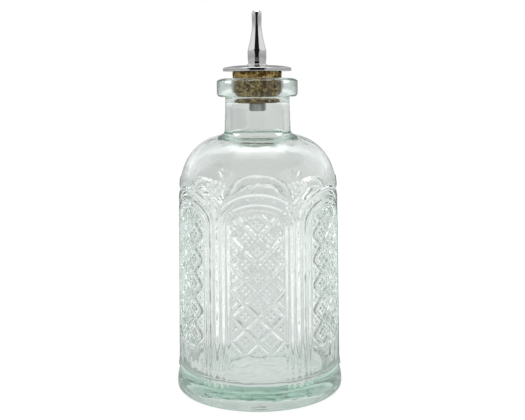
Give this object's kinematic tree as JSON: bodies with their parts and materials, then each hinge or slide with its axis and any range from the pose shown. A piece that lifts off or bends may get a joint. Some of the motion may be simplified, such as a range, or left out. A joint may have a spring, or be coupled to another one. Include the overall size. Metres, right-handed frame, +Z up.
{
  "type": "bitters bottle",
  "caption": "Round glass bitters bottle with arched lattice panels and a lift-out cork dasher stopper with a drip disc and tapered spout.",
  "frame": {"origin": "centre of the ring that the bottle stands on, at the level of the table", "axes": "+Z up the bottle's axis towards the spout; -Y faces the front panel's centre"},
  "size_m": [0.0744, 0.0744, 0.1667],
  "materials": {
    "bottle_glass": "clear moulded glass with a pale green tint",
    "agglomerated_cork": "pressed cork granules with dark pits, matt",
    "chrome_plate": "polished",
    "plain_steel": "satin"
  },
  "bodies": {
    "bottle": {"bottle": "bottle_glass"},
    "stopper": {"cork": "agglomerated_cork", "drip_disc": "chrome_plate", "spout": "chrome_plate", "stem_tube": "plain_steel", "end_cap": "plain_steel"}
  },
  "joints": [
    {"name": "stopper_lift", "type": "slide", "parent": "bottle", "child": "stopper", "axis": [0, 0, 1], "range_m": [0, 0.06]}
  ]
}
